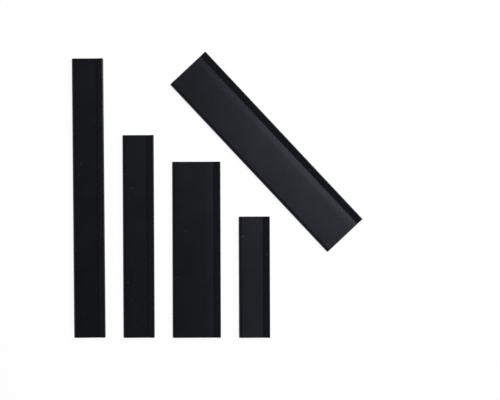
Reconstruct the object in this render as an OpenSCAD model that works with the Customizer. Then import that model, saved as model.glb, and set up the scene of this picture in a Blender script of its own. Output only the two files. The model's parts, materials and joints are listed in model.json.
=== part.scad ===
// Set of five knife blade guards lying side by side on a table. Each guard is one strip of
// black plastic folded along its left edge, open along its right edge and at both ends, with
// a flared lip on its upper wall and a strip of felt stuck inside each wall.
// Millimetres. +Z is up and the table is at Z = 0. The four upright guards run along +Y, with
// their mouths towards +X. The origin is on the table, at the middle of the set's outline.

/* [Guard lengths] */
// Length of the guard for a slicing knife
slicer_len = 262.5; // [230:0.5:300]
// Length of the guard for a utility knife
utility_len = 190.5; // [160:0.5:220]
// Length of the guard for a santoku knife
santoku_len = 165.5; // [130:0.5:190]
// Length of the guard for a paring knife
paring_len = 114; // [90:0.5:140]
// Length of the guard for a chef's knife
chef_len = 216; // [180:0.5:260]

/* [Guard widths] */
// Width of the three narrow guards, from the fold to the mouth
narrow_w = 29.4; // [25:0.1:34]
// Width of the two wide guards, from the fold to the mouth
wide_w = 45.5; // [38:0.5:56]

/* [Plastic walls] */
// Thickness of the plastic
wall_t = 1.3; // [1:0.1:1.8]
// Width of the flared lip, seen from above
lip_w = 6.9; // [5:0.1:9]
// Angle at which the lip flares away from the slot
lip_angle = 22; // [12:1:30]
// Width of the dip where the upper wall comes down to the neck
dip_w = 5.5; // [5:0.1:7]
// Depth of that dip
dip_h = 0.27; // [0.2:0.01:0.35]
// Bend radius at the start of the dip, on the slot side
dip_r = 130; // [60:5:140]
// Bend radius of the neck, on the slot side
neck_r = 6; // [3:0.5:7]

/* [Felt lining] */
// Thickness of the felt
felt_t = 0.8; // [0.5:0.1:1.2]
// Thickness of the adhesive film behind the felt
film_t = 0.15; // [0.1:0.05:0.3]
// Gap between the two felts beside the fold, with the guard closed
fold_gap = 1.5; // [1:0.1:2.5]
// Gap between the two felts at the neck, with the guard closed
neck_gap = 0.5; // [0.3:0.1:1.2]
// Bare strip between the fold and the felt
felt_margin = 0.8; // [0.4:0.1:2]
// Bare strip between the felt and each cut end
felt_end = 0.5; // [0.2:0.1:2]

/* [Places on the table] */
// Gap between neighbouring upright guards
row_gap = 16.9; // [8:0.1:30]
// Angle by which the slicer guard leans to the left
slicer_lean = 0.5; // [0:0.1:1]
// Angle by which the utility guard leans to the left
utility_lean = 0.3; // [0:0.1:1]
// Angle by which the santoku guard leans to the left
santoku_lean = 0.2; // [0:0.1:1]
// Angle by which the paring guard leans to the left
paring_lean = 0.2; // [0:0.1:1]
// Angle by which the chef's guard leans to the left
chef_lean = 43.2; // [30:0.2:60]
// Clearance between the chef's guard and the nearest corner of the row
chef_gap = 15; // [8:0.5:30]
// How far the chef's guard reaches down past the paring guard's corner, along its own length
chef_drop_len = 61.5; // [40:0.5:90]

/* [Hidden] */
// Fineness of the fold's circles, and steps in each bend and rounded edge
$fn = 96;
bend_steps = 5;
edge_steps = 8;

// The plastic of each wall meets the fold's circle, which is as thick as the lining needs
lining_t = film_t + felt_t;
fold_in_r = lining_t + fold_gap / 2;
fold_r = fold_in_r + wall_t;
neck_z = wall_t + 2 * lining_t + neck_gap;

plastic = [0.09, 0.09, 0.1];
felt = [0.2, 0.2, 0.21];
film = [0.75, 0.72, 0.6];

// Name, length, width and lean of each guard: the row from left to right, then the slanted one
ROW = [
    ["slicer", slicer_len, narrow_w, slicer_lean],
    ["utility", utility_len, narrow_w, utility_lean],
    ["santoku", santoku_len, wide_w, santoku_lean],
    ["paring", paring_len, narrow_w, paring_lean]
];
CHEF = ["chef", chef_len, wide_w, chef_lean];
GUARDS = concat(ROW, [CHEF]);
PIECES = [
    "back_wall", "fold", "front_wall", "back_adhesive", "back_felt", "front_adhesive", "front_felt"
];

function length_of(guard) = guard[1];
function width_of(guard) = guard[2];
function lean_of(guard) = guard[3];

// Unit vectors across a guard towards its mouth, and up its length, on the table
function across(guard) = [cos(lean_of(guard)), sin(lean_of(guard))];
function up(guard) = [-sin(lean_of(guard)), cos(lean_of(guard))];

// Lower corner beside the fold of each guard in the row, before the set is centred
function row_x(i) = i == 0 ? 0 : row_x(i - 1) + width_of(ROW[i - 1]) + row_gap;
function row_corner(i) = [row_x(i), 0];
function far_corner(guard, corner) =
    corner + across(guard) * width_of(guard) + up(guard) * length_of(guard);

// The chef's guard keeps clear of the row's upper right corners, and is placed along its own
// length from the last of them
row_tips = [for (i = [0:len(ROW) - 1]) far_corner(ROW[i], row_corner(i))];
row_edge = max([for (tip = row_tips) tip * across(CHEF)]);
chef_corner = across(CHEF) * (row_edge + chef_gap)
    + up(CHEF) * (row_tips[len(row_tips) - 1] * up(CHEF) - chef_drop_len);
corners = concat([for (i = [0:len(ROW) - 1]) row_corner(i)], [chef_corner]);

// All the outlines' corners, and the middle of the box around them
outline = [
    for (i = [0:len(GUARDS) - 1])
        for (a = [0, 1], b = [0, 1])
            corners[i]
                + across(GUARDS[i]) * width_of(GUARDS[i]) * a
                + up(GUARDS[i]) * length_of(GUARDS[i]) * b
];
function middle_of(values) = (min(values) + max(values)) / 2;
centre = [middle_of([for (p = outline) p.x]), middle_of([for (p = outline) p.y])];

function index_of(guard) = search([guard[0]], GUARDS)[0];
function place_of(guard) = corners[index_of(guard)] - centre;

// The section of a guard lies in X and Z, from the fold at X = 0 to the mouth at X = width.
// The upper wall follows the face that carries the film: each point is [x, z, heading].
function neck_x(guard) = width_of(guard) - lip_w;
dip_heading = -atan(dip_h / dip_w);
function dip_point(guard) = [neck_x(guard) - dip_w, neck_z + dip_h];

// Heading of the flat stretch: the tangent from the dip to the fold's inner circle
function flat_heading(guard) =
    let (v = dip_point(guard) - [fold_r, fold_r])
    atan2(v.y, v.x) - asin(fold_in_r / norm(v));
function fold_end(guard) =
    let (h = flat_heading(guard))
    [fold_r - fold_in_r * sin(h), fold_r + fold_in_r * cos(h), h];

// A round bend between two headings, where the two straight stretches would meet at a corner
function bend(corner, h0, h1, r) =
    let (
        turn = h1 > h0 ? 1 : -1,
        back = r * tan(abs(h1 - h0) / 2),
        start = corner - back * [cos(h0), sin(h0)],
        hub = start + turn * r * [-sin(h0), cos(h0)]
    )
    [
        for (i = [0:bend_steps])
            let (h = h0 + (h1 - h0) * i / bend_steps)
            [hub.x + turn * r * sin(h), hub.y - turn * r * cos(h), h]
    ];

// The neck's own bend is level at its lowest point, where the felt ends and the lip begins
neck_back = neck_r * tan(-dip_heading / 2);
function walk_to_neck(guard) = concat(
    bend(dip_point(guard), flat_heading(guard), dip_heading, dip_r),
    bend([neck_x(guard), neck_z], dip_heading, 0, neck_r)
);
function lip_end(guard) =
    let (
        x = width_of(guard) - wall_t / 2 * (1 - sin(lip_angle)),
        flare = neck_x(guard) + neck_back + neck_r * tan(lip_angle / 2)
    )
    [x, neck_z + (x - flare) * tan(lip_angle), lip_angle];
function walk_from_neck(guard) = concat(
    bend(
        [neck_x(guard) + neck_back + neck_r * tan(lip_angle / 2), neck_z],
        0, lip_angle, neck_r
    ),
    [lip_end(guard)]
);

// A point set off from a path, away from the slot
function off(p, d) = [p.x - d * sin(p.z), p.y + d * cos(p.z)];
// The half round that closes the end of a wall, from its outer face to its slot face
function round_end(p) = [
    for (i = [1:edge_steps - 1])
        let (a = p.z + 90 - 180 * i / edge_steps)
        off(p, wall_t / 2) + wall_t / 2 * [cos(a), sin(a)]
];

module strip(path, near, far) {
    polygon(concat(
        [for (p = path) off(p, near)],
        [for (i = [len(path) - 1:-1:0]) off(path[i], far)]
    ));
}

// Extrudes a section along a guard's length, less a bare strip at each end, in its place
module lay(guard, bare = 0) {
    place = place_of(guard);
    translate([place.x, place.y, 0])
        rotate([0, 0, lean_of(guard)])
            translate([0, length_of(guard) - bare, 0])
                rotate([90, 0, 0])
                    linear_extrude(length_of(guard) - 2 * bare)
                        children();
}

module back_wall(guard) {
    end = [width_of(guard) - wall_t / 2, 0, 0];
    color(plastic)
        lay(guard)
            polygon(concat(
                [[fold_r, 0], [fold_r, wall_t], [end.x, wall_t]],
                round_end(end),
                [[end.x, 0]]
            ));
}

module fold(guard) {
    h = flat_heading(guard);
    reach = 2 * fold_r;
    color(plastic)
        lay(guard)
            translate([fold_r, fold_r])
                difference() {
                    circle(fold_r);
                    circle(fold_in_r);
                    polygon([
                        [0, 0], [0, -reach], [reach, -reach], [reach, reach],
                        reach * [-sin(h), cos(h)]
                    ]);
                }
}

module front_wall(guard) {
    path = concat([fold_end(guard)], walk_to_neck(guard), walk_from_neck(guard));
    color(plastic)
        lay(guard)
            polygon(concat(
                [for (p = path) off(p, wall_t)],
                round_end(lip_end(guard)),
                [for (i = [len(path) - 1:-1:0]) off(path[i], 0)]
            ));
}

// A layer of the lining on the lower wall, between two heights above that wall
module back_layer(guard, near, far) {
    lay(guard, felt_end)
        translate([fold_r + felt_margin, wall_t + near])
            square([neck_x(guard) - fold_r - felt_margin, far - near]);
}

// A layer of the lining on the upper wall, between two depths below that wall
module front_layer(guard, near, far) {
    start = fold_end(guard);
    h = start.z;
    path = concat(
        [[start.x + felt_margin * cos(h), start.y + felt_margin * sin(h), h]],
        walk_to_neck(guard)
    );
    lay(guard, felt_end) strip(path, -near, -far);
}

module back_adhesive(guard) color(film) back_layer(guard, 0, film_t);
module back_felt(guard) color(felt) back_layer(guard, film_t, lining_t);
module front_adhesive(guard) color(film) front_layer(guard, 0, film_t);
module front_felt(guard) color(felt) front_layer(guard, film_t, lining_t);

for (guard = GUARDS) {
    back_wall(guard);
    fold(guard);
    front_wall(guard);
    back_adhesive(guard);
    back_felt(guard);
    front_adhesive(guard);
    front_felt(guard);
}
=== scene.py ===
import json
import math
import random

import bpy
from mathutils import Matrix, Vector


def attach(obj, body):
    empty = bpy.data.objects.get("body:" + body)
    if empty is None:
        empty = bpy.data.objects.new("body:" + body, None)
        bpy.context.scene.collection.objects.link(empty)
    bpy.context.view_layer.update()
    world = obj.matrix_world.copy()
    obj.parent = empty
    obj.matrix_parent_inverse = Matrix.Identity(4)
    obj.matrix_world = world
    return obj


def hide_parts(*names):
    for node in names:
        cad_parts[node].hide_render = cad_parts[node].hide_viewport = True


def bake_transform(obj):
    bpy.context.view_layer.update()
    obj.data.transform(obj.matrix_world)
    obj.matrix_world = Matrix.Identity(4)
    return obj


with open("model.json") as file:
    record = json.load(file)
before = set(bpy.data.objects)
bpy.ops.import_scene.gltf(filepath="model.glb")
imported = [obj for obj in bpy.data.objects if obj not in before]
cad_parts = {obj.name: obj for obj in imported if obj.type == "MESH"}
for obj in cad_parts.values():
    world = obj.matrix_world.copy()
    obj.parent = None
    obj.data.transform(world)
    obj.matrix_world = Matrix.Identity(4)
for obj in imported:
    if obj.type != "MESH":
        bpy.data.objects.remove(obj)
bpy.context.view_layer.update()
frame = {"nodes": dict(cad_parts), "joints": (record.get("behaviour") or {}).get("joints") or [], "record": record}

MM = 0.001
GUARDS = ["slicer", "utility", "santoku", "paring", "chef"]
joints = {joint["name"]: joint for joint in frame["joints"]}
mounts = {mount["name"]: mount for mount in frame["record"]["mounts"]}

# The section of a guard, in millimetres, as the part has it
WALL_T = 1.3
LIP_W = 6.9
LIP_ANGLE = math.radians(22)
DIP_W = 5.5
DIP_H = 0.27
DIP_R = 130.0
NECK_R = 6.0
FELT_T = 0.8
FILM_T = 0.15
LINING_T = FILM_T + FELT_T
FOLD_GAP = 1.5
NECK_GAP = 0.5
FELT_MARGIN = 0.8
FELT_END = 0.5
FOLD_IN_R = LINING_T + FOLD_GAP / 2
FOLD_R = FOLD_IN_R + WALL_T
NECK_Z = WALL_T + 2 * LINING_T + NECK_GAP
BEND_STEPS = 8
FOLD_STEPS = 28
ROUND_STEPS = 8

# The rounding of the cut ends
END_R = 0.6
END_STEPS = 4
# The felt's grid across and along, the unevenness of its face and its rounded rim
FELT_STEP = 1.6
FELT_ROW = 2.4
FELT_FUZZ = 0.07
FELT_ROUND = 0.18
# The share of large faces in the smoothed normals, at its highest
FLAT_WEIGHT = 100

# The photograph's frame, and the picture's scale in metres per pixel
PHOTO_W = 500
PHOTO_H = 400
M_PER_PIXEL = 0.9403 * MM
# The pixel at which the set's outline has its middle
SET_PIXEL = (217.1, 194.7)
# The camera's focal length and the width of its sensor, in millimetres
LENS = 100.0
SENSOR = 36.0


# Geometry: a path along the face that carries the film, each point (x, z, heading)

def span_of(name, direction):
    """Lowest and highest place of a CAD node's corners along a direction."""
    places = [v.co.dot(direction) for v in frame["nodes"][name].data.vertices]
    return min(places), max(places)


class Place:
    """Where a guard lies, worked out from its hinge, its slot and its back wall."""

    def __init__(self, name):
        hinge = joints[name + "_opening"]
        self.name = name
        self.up = -Vector(hinge["axis"])
        self.across = Vector(mounts[name + "_blade_slot"]["axis"])
        low, high = span_of(name + "_back_wall", self.up)
        self.length = (high - low) / MM
        fold_x = Vector(hinge["pos_m"]).dot(self.across) - FOLD_R * MM
        self.width = (span_of(name + "_back_wall", self.across)[1] - fold_x) / MM
        self.corner = self.across * fold_x + self.up * low

    def point(self, x, y, z):
        """A point of the guard, from millimetres across, along and up."""
        return self.corner + (self.across * x + self.up * y + Vector((0, 0, z))) * MM


def bend(corner, h0, h1, r):
    """A round bend between two headings, whose straight stretches would meet at a corner."""
    turn = 1 if h1 > h0 else -1
    back = r * math.tan(abs(h1 - h0) / 2)
    start = (corner[0] - back * math.cos(h0), corner[1] - back * math.sin(h0))
    hub = (start[0] - turn * r * math.sin(h0), start[1] + turn * r * math.cos(h0))
    points = []
    for i in range(BEND_STEPS + 1):
        h = h0 + (h1 - h0) * i / BEND_STEPS
        points.append((hub[0] + turn * r * math.sin(h), hub[1] - turn * r * math.cos(h), h))
    return points


DIP_HEADING = -math.atan(DIP_H / DIP_W)
NECK_BACK = NECK_R * math.tan(-DIP_HEADING / 2)


def flat_heading(width):
    """Heading of the flat stretch, from the fold's inner circle to the dip."""
    x = width - LIP_W - DIP_W - FOLD_R
    z = NECK_Z + DIP_H - FOLD_R
    return math.atan2(z, x) - math.asin(FOLD_IN_R / math.hypot(x, z))


def fold_path(width):
    """Round the inside of the fold, from the back wall to the flat stretch."""
    last = flat_heading(width)
    points = []
    for i in range(FOLD_STEPS + 1):
        h = math.pi + (last - math.pi) * i / FOLD_STEPS
        points.append((FOLD_R - FOLD_IN_R * math.sin(h), FOLD_R + FOLD_IN_R * math.cos(h), h))
    return points


def lined_path(width):
    """The upper wall from its dip to the neck, where the felt ends."""
    neck_x = width - LIP_W
    dip = (neck_x - DIP_W, NECK_Z + DIP_H)
    return (
        bend(dip, flat_heading(width), DIP_HEADING, DIP_R)
        + bend((neck_x, NECK_Z), DIP_HEADING, 0.0, NECK_R)
    )


def lip_path(width):
    """The neck's upward bend and the flared lip, to the mouth."""
    flare = width - LIP_W + NECK_BACK + NECK_R * math.tan(LIP_ANGLE / 2)
    x = width - WALL_T / 2 * (1 - math.sin(LIP_ANGLE))
    z = NECK_Z + (x - flare) * math.tan(LIP_ANGLE)
    return bend((flare, NECK_Z), 0.0, LIP_ANGLE, NECK_R) + [(x, z, LIP_ANGLE)]


def off(p, d):
    """A point set off from a path by d, away from the slot."""
    return (p[0] - d * math.sin(p[2]), p[1] + d * math.cos(p[2]))


def shell_path(width):
    """The whole strip, from the back wall's mouth round the fold to the lip's end."""
    back = [(width - WALL_T / 2, WALL_T, math.pi)]
    return back + fold_path(width) + lined_path(width) + lip_path(width)


def round_end(p, inset, first):
    """The half round at an end of the strip, from the angle first, without its two ends."""
    centre = off(p, WALL_T / 2)
    r = WALL_T / 2 - inset
    points = []
    for i in range(1, ROUND_STEPS):
        a = first + math.pi * i / ROUND_STEPS
        points.append((centre[0] + r * math.cos(a), centre[1] + r * math.sin(a)))
    return points


def shell_ring(path, inset):
    """The strip's closed outline, drawn in from its surface by inset."""
    inner = [off(p, inset) for p in path]
    outer = [off(p, WALL_T - inset) for p in path]
    lip = round_end(path[-1], inset, path[-1][2] - math.pi / 2)
    back = round_end(path[0], inset, path[0][2] + math.pi / 2)
    return inner + lip + outer[::-1] + back


def new_object(name, vertices, faces, across_along, material):
    """An object of one material, whose UV map is the strip laid flat, in metres."""
    mesh = bpy.data.meshes.new(name)
    mesh.from_pydata([tuple(v) for v in vertices], [], faces)
    mesh.validate()
    layer = mesh.uv_layers.new(name="Laid_flat")
    for loop in mesh.loops:
        layer.data[loop.index].uv = across_along[loop.vertex_index]
    mesh.shade_smooth()
    mesh.materials.append(material)
    obj = bpy.data.objects.new(name, mesh)
    bpy.context.scene.collection.objects.link(obj)
    weighted = obj.modifiers.new("Flat faces stay flat", "WEIGHTED_NORMAL")
    weighted.weight = FLAT_WEIGHT
    return obj


def end_faces(count, size):
    """The faces that close a cut end: one for each step of the path, and its two round ends."""
    outer_first = count + ROUND_STEPS - 1
    outer_last = outer_first + count - 1
    caps = [(i, i + 1, outer_last - i - 1, outer_last - i) for i in range(count - 1)]
    caps.append(tuple(range(count - 1, outer_first + 1)))
    caps.append(tuple(range(outer_last, size)) + (0,))
    return caps


def make_shell(place, material):
    """The folded strip of plastic, in one piece, with softened cut ends."""
    path = shell_path(place.width)
    turns = [math.pi / 2 * k / END_STEPS for k in range(END_STEPS + 1)]
    stations = [(END_R * (1 - math.cos(a)), END_R * (1 - math.sin(a))) for a in turns]
    rings = stations + [(place.length - y, inset) for y, inset in stations[::-1]]
    vertices, flat = [], []
    for y, inset in rings:
        outline = shell_ring(path, inset)
        walked = 0.0
        for i, (x, z) in enumerate(outline):
            if i:
                walked += math.hypot(x - outline[i - 1][0], z - outline[i - 1][1])
            vertices.append(place.point(x, y, z))
            flat.append((walked * MM, y * MM))
    size = len(shell_ring(path, 0.0))
    faces = []
    for ring in range(len(rings) - 1):
        for i in range(size):
            j = (i + 1) % size
            a, b = ring * size, (ring + 1) * size
            faces.append((a + i, b + i, b + j, a + j))
    for first, flip in ((0, False), ((len(rings) - 1) * size, True)):
        for cap in end_faces(len(path), size):
            cap = tuple(first + i for i in cap)
            faces.append(cap[::-1] if flip else cap)
    shell = new_object(place.name + "_shell", vertices, faces, flat, material)
    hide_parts(*[place.name + s for s in ("_back_wall", "_fold", "_front_wall")])
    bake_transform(shell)


def evenly(path, step):
    """The path with its long stretches cut into steps."""
    points = [path[0]]
    for p in path[1:]:
        q = points[-1]
        cuts = max(1, round(math.hypot(p[0] - q[0], p[1] - q[1]) / step))
        for i in range(1, cuts + 1):
            f = i / cuts
            points.append(tuple(q[k] + (p[k] - q[k]) * f for k in range(3)))
    return points


def make_felt(place, side, path, material):
    """A strip of felt on the film, with a soft uneven face and rounded cut edges."""
    random.seed(place.name + side)
    path = evenly(path, FELT_STEP)
    rows = max(2, round((place.length - 2 * FELT_END) / FELT_ROW))
    last = len(path) - 1
    vertices, flat = [], []
    for row in range(rows + 1):
        y = FELT_END + (place.length - 2 * FELT_END) * row / rows
        for i, p in enumerate(path):
            rim = i in (0, last) or row in (0, rows)
            depth = LINING_T - random.uniform(0, FELT_FUZZ) - (FELT_ROUND if rim else 0)
            x, z = off(p, -depth)
            vertices.append(place.point(x, y, z))
            flat.append((p[0] * MM, y * MM))
        for p in path:
            x, z = off(p, -FILM_T)
            vertices.append(place.point(x, y, z))
            flat.append((p[0] * MM, y * MM))
    wide = len(path)
    faces = []
    for row in range(rows):
        a, b = row * 2 * wide, (row + 1) * 2 * wide
        for i in range(last):
            faces.append((a + i, a + i + 1, b + i + 1, b + i))
            faces.append((a + wide + i, b + wide + i, b + wide + i + 1, a + wide + i + 1))
        faces.append((a, b, b + wide, a + wide))
        faces.append((a + last, a + wide + last, b + wide + last, b + last))
    for first, flip in ((0, False), (rows * 2 * wide, True)):
        for i in range(last):
            cap = tuple(first + k for k in (i, wide + i, wide + i + 1, i + 1))
            faces.append(cap[::-1] if flip else cap)
    felt = new_object(f"{place.name}_{side}_lining", vertices, faces, flat, material)
    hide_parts(f"{place.name}_{side}_felt")
    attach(felt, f"{place.name}_{side}")


# Materials, in linear colours

BLACK = (0, 0, 0)
WHITE = (1, 1, 1)
PLASTIC_DARK = (0.0030, 0.0032, 0.0048)
PLASTIC_LIGHT = (0.0042, 0.0044, 0.0064)
PLASTIC_GLOSS = (0.8, 0.84, 1.0)
DUST = (0.04, 0.04, 0.042)
FELT_DARK = (0.012, 0.012, 0.014)
FELT_LIGHT = (0.06, 0.06, 0.065)
# The felt's colour in the hollows between its tufts, darkened there as painted shade
TUFT_HOLLOW_PAINTED_SHADE = (0.6, 0.6, 0.6)
FILM_DARK = (0.5, 0.46, 0.34)
FILM_LIGHT = (0.72, 0.68, 0.55)


class Nodes:
    """A short way to add and join nodes."""

    def __init__(self, name):
        self.material = bpy.data.materials.new(name)
        self.material.use_nodes = True
        self.tree = self.material.node_tree
        self.shader = self.tree.nodes["Principled BSDF"]

    def add(self, kind, **values):
        node = self.tree.nodes.new("ShaderNode" + kind)
        for key, value in values.items():
            if hasattr(node, key):
                setattr(node, key, value)
            else:
                node.inputs[key.replace("_", " ")].default_value = value
        return node

    def join(self, source, target):
        self.tree.links.new(source, target)

    def noise(self, coordinates, scale, detail, roughness=0.5, stretch=(1, 1, 1)):
        mapping = self.add("Mapping")
        mapping.inputs["Scale"].default_value = stretch
        self.join(coordinates, mapping.inputs["Vector"])
        noise = self.add("TexNoise", Scale=scale, Detail=detail, Roughness=roughness)
        self.join(mapping.outputs["Vector"], noise.inputs["Vector"])
        return noise.outputs["Fac"]

    def ramp(self, source, places, colours):
        """One colour up to the first place, the other from the second, blended between."""
        ramp = self.add("ValToRGB")
        for element, place, colour in zip(ramp.color_ramp.elements, places, colours):
            element.position = place
            element.color = (*colour, 1)
        self.join(source, ramp.inputs["Fac"])
        return ramp.outputs["Color"]

    def range(self, source, low, high):
        spread = self.add("MapRange", To_Min=low, To_Max=high)
        self.join(source, spread.inputs["Value"])
        return spread.outputs["Result"]

    def bump(self, height, distance, strength, under=None):
        bump = self.add("Bump", Distance=distance, Strength=strength)
        self.join(height, bump.inputs["Height"])
        if under:
            self.join(under, bump.inputs["Normal"])
        return bump.outputs["Normal"]


def black_plastic():
    n = Nodes("black_plastic")
    flat = n.add("TexCoord").outputs["UV"]
    place = n.add("TexCoord").outputs["Object"]
    # Cloudy handling marks and faint lines left along the length by the forming of the strip
    cloud = n.noise(flat, 45.0, detail=3.0)
    drag = n.noise(flat, 900.0, detail=2.0, stretch=(1, 0.02, 1))
    grain = n.noise(place, 2600.0, detail=3.0, roughness=0.65)
    specks = n.noise(place, 420.0, detail=0.0)
    base = n.ramp(cloud, (0.3, 0.7), (PLASTIC_DARK, PLASTIC_LIGHT))
    dust = n.ramp(specks, (0.845, 0.87), (BLACK, WHITE))
    mix = n.add("Mix", data_type="RGBA")
    n.join(dust, mix.inputs["Factor"])
    n.join(base, mix.inputs["A"])
    mix.inputs["B"].default_value = (*DUST, 1)
    n.join(mix.outputs["Result"], n.shader.inputs["Base Color"])
    n.join(n.range(cloud, low=0.29, high=0.34), n.shader.inputs["Roughness"])
    lines = n.bump(drag, distance=0.00002, strength=0.5)
    grained = n.bump(grain, distance=0.00003, strength=0.55, under=lines)
    n.join(grained, n.shader.inputs["Normal"])
    n.shader.inputs["IOR"].default_value = 1.5
    n.shader.inputs["Specular Tint"].default_value = (*PLASTIC_GLOSS, 1)
    return n.material


def black_felt():
    n = Nodes("black_felt")
    place = n.add("TexCoord").outputs["Object"]
    fibre = n.noise(place, 1700.0, detail=5.0, roughness=0.75)
    tuft = n.noise(place, 320.0, detail=3.0)
    # The hollows between the tufts, which the bump sinks, are darkened in the colour: painted shade
    mix = n.add("Mix", data_type="RGBA", blend_type="MULTIPLY")
    mix.inputs["Factor"].default_value = 0.7
    n.join(n.ramp(fibre, (0.3, 0.72), (FELT_DARK, FELT_LIGHT)), mix.inputs["A"])
    n.join(n.ramp(tuft, (0.3, 0.7), (TUFT_HOLLOW_PAINTED_SHADE, WHITE)), mix.inputs["B"])
    n.join(mix.outputs["Result"], n.shader.inputs["Base Color"])
    n.shader.inputs["Roughness"].default_value = 0.95
    n.shader.inputs["Sheen Weight"].default_value = 0.35
    n.shader.inputs["Sheen Roughness"].default_value = 0.5
    tufted = n.bump(tuft, distance=0.0002, strength=0.6)
    napped = n.bump(fibre, distance=0.00015, strength=0.8, under=tufted)
    n.join(napped, n.shader.inputs["Normal"])
    return n.material


def adhesive_film():
    n = Nodes("adhesive_film")
    place = n.add("TexCoord").outputs["Object"]
    smear = n.noise(place, 260.0, detail=3.0)
    colour = n.ramp(smear, (0.3, 0.7), (FILM_DARK, FILM_LIGHT))
    n.join(colour, n.shader.inputs["Base Color"])
    n.join(n.range(smear, low=0.25, high=0.45), n.shader.inputs["Roughness"])
    n.join(n.bump(smear, distance=0.00004, strength=0.4), n.shader.inputs["Normal"])
    return n.material


# The guards

def back_felt_path(width):
    """Along the back wall, from under the neck to the bare strip beside the fold."""
    return [(width - LIP_W, WALL_T, math.pi), (FOLD_R + FELT_MARGIN, WALL_T, math.pi)]


def front_felt_path(width):
    """Along the front wall, from the bare strip beside the fold to the neck."""
    x, z, h = fold_path(width)[-1]
    start = (x + FELT_MARGIN * math.cos(h), z + FELT_MARGIN * math.sin(h), h)
    return [start] + lined_path(width)


plastic = black_plastic()
felt = black_felt()
film = adhesive_film()

for name in GUARDS:
    place = Place(name)
    make_shell(place, plastic)
    make_felt(place, "back", back_felt_path(place.width), felt)
    make_felt(place, "front", front_felt_path(place.width), felt)
    for side in ("back", "front"):
        node = frame["nodes"][f"{name}_{side}_adhesive"]
        node.data.materials.clear()
        node.data.materials.append(film)


# The stage: a white floor that keeps a trace of the object's shadow

FLOOR_SIZE = 60.0
# How far the floor lies under the object, so that their faces don't flicker
FLOOR_DROP = 0.05 * MM
# Where it shows as the background the floor glows, and its dim colour keeps the shadow.
# To all other light it is pale
FLOOR_GLOW = 0.93
FLOOR_LIT = 0.1
FLOOR_COLOUR = 0.8


def seen(tree):
    """1 for rays that show the background: from the camera, in gloss and through glass."""
    path = tree.nodes.new("ShaderNodeLightPath")
    total = path.outputs["Is Camera Ray"]
    for name in ("Is Glossy Ray", "Is Transmission Ray"):
        add = tree.nodes.new("ShaderNodeMath")
        add.operation = "MAXIMUM"
        tree.links.new(total, add.inputs[0])
        tree.links.new(path.outputs[name], add.inputs[1])
        total = add.outputs[0]
    return total


def white_floor():
    material = bpy.data.materials.new("white_floor")
    material.use_nodes = True
    tree = material.node_tree
    tree.nodes.clear()
    plain = tree.nodes.new("ShaderNodeBsdfDiffuse")
    plain.inputs["Color"].default_value = (FLOOR_COLOUR,) * 3 + (1,)
    trace = tree.nodes.new("ShaderNodeBsdfDiffuse")
    trace.inputs["Color"].default_value = (FLOOR_LIT,) * 3 + (1,)
    glow = tree.nodes.new("ShaderNodeEmission")
    glow.inputs["Strength"].default_value = FLOOR_GLOW
    both = tree.nodes.new("ShaderNodeAddShader")
    choose = tree.nodes.new("ShaderNodeMixShader")
    out = tree.nodes.new("ShaderNodeOutputMaterial")
    tree.links.new(trace.outputs[0], both.inputs[0])
    tree.links.new(glow.outputs[0], both.inputs[1])
    tree.links.new(seen(tree), choose.inputs[0])
    tree.links.new(plain.outputs[0], choose.inputs[1])
    tree.links.new(both.outputs[0], choose.inputs[2])
    tree.links.new(choose.outputs[0], out.inputs["Surface"])
    return material


half = FLOOR_SIZE / 2
floor_corners = [(-half, -half, 0), (half, -half, 0), (half, half, 0), (-half, half, 0)]
floor_mesh = bpy.data.meshes.new("floor")
floor_mesh.from_pydata(floor_corners, [], [(0, 1, 2, 3)])
floor_mesh.materials.append(white_floor())
floor = bpy.data.objects.new("floor", floor_mesh)
floor.location.z = -FLOOR_DROP
bpy.context.scene.collection.objects.link(floor)


# Light and camera

HORIZON_LIGHT = 0.5
ZENITH_LIGHT = 0.03


def studio_world():
    """Soft light from the sides, which fades evenly to a dim ceiling."""
    world = bpy.data.worlds.new("studio")
    world.use_nodes = True
    tree = world.node_tree
    direction = tree.nodes.new("ShaderNodeTexCoord")
    parts = tree.nodes.new("ShaderNodeSeparateXYZ")
    height = tree.nodes.new("ShaderNodeMapRange")
    height.inputs["To Min"].default_value = HORIZON_LIGHT
    height.inputs["To Max"].default_value = ZENITH_LIGHT
    tree.links.new(direction.outputs["Generated"], parts.inputs[0])
    tree.links.new(parts.outputs["Z"], height.inputs["Value"])
    tree.links.new(height.outputs["Result"], tree.nodes["Background"].inputs["Strength"])
    tree.nodes["Background"].inputs["Color"].default_value = (1, 1, 1, 1)
    bpy.context.scene.world = world


studio_world()


def area_light(name, place, aim, size, power):
    """A soft lamp, with its place, aim and size in metres and its power in watts."""
    light = bpy.data.lights.new(name, "AREA")
    light.shape = "RECTANGLE"
    light.size, light.size_y = size
    light.energy = power
    obj = bpy.data.objects.new(name, light)
    obj.location = place
    obj.rotation_euler = (Vector(aim) - Vector(place)).to_track_quat("-Z", "Y").to_euler()
    bpy.context.scene.collection.objects.link(obj)


area_light("key", place=(0.44, 0.31, 0.72), aim=(0.05, 0.0, 0.0), size=(0.3, 0.4), power=6.3)
area_light("low", place=(0.25, -0.35, 0.9), aim=(0.05, -0.05, 0.0), size=(0.3, 0.3), power=0.25)

width_m = PHOTO_W * M_PER_PIXEL
camera_data = bpy.data.cameras.new("camera")
camera_data.lens = LENS
camera_data.sensor_width = SENSOR
camera = bpy.data.objects.new("camera", camera_data)
camera.location = (
    (PHOTO_W / 2 - SET_PIXEL[0]) * M_PER_PIXEL,
    -(PHOTO_H / 2 - SET_PIXEL[1]) * M_PER_PIXEL,
    width_m * LENS / SENSOR + NECK_Z * MM,
)
bpy.context.scene.collection.objects.link(camera)
bpy.context.scene.camera = camera
bpy.context.scene.view_settings.view_transform = "Standard"
